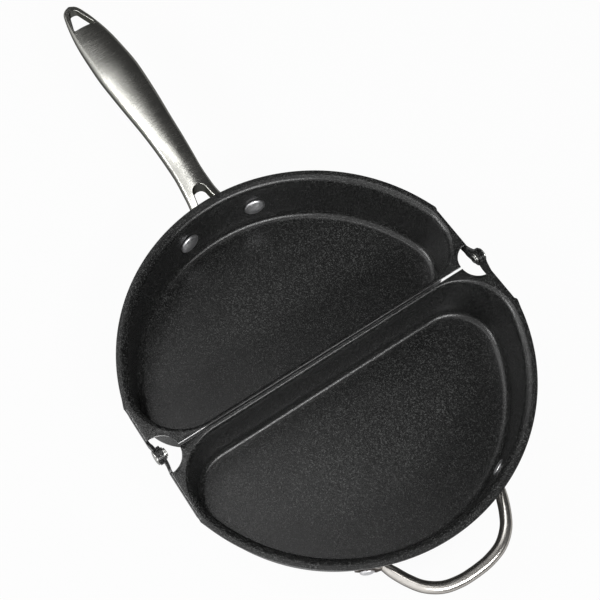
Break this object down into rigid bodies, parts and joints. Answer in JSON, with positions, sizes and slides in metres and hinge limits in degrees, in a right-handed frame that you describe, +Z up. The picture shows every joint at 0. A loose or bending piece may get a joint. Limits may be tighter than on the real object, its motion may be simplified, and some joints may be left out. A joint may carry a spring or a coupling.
{
  "type": "folding omelette pan",
  "caption": "Folding omelette pan: non-stick D-shaped wells hinged along their straight edges, with a long steel handle with a hang hole and a small steel loop handle opposite",
  "frame": {"origin": "centre of the object's length and width, on the level surface that the flat bottoms of both halves rest on", "axes": "+Z up, +Y from the loop handle towards the tip of the long handle, +X along the hinge line to the right when seen from the loop handle"},
  "size_m": [0.2308, 0.461, 0.0499],
  "materials": {
    "coated_aluminium": "dark grey non-stick coating with a fine grain, satin, on pressed aluminium sheet",
    "brushed_handle_steel": "satin stainless steel with a soft lengthwise brush",
    "polished_loop_steel": "polished stainless steel rod with flattened ends",
    "rivet_aluminium": "satin domed rivet heads",
    "hinge_steel": "bright steel rivet and washer, slightly dulled"
  },
  "bodies": {
    "base": {"base_half": "coated_aluminium", "long_handle": "brushed_handle_steel", "long_handle_rivet_left": "rivet_aluminium", "long_handle_rivet_right": "rivet_aluminium", "hinge_rivet_left": "hinge_steel", "hinge_rivet_right": "hinge_steel", "hinge_washer_left": "hinge_steel", "hinge_washer_right": "hinge_steel"},
    "flip": {"flip_half": "coated_aluminium", "loop_handle": "polished_loop_steel", "loop_handle_rivet_left": "rivet_aluminium", "loop_handle_rivet_right": "rivet_aluminium"}
  },
  "joints": [
    {"name": "flip_fold", "type": "hinge", "parent": "base", "child": "flip", "pos_m": [0, -0.08155, 0.0448], "axis": [-1, 0, 0], "range_deg": [0, 180]}
  ]
}
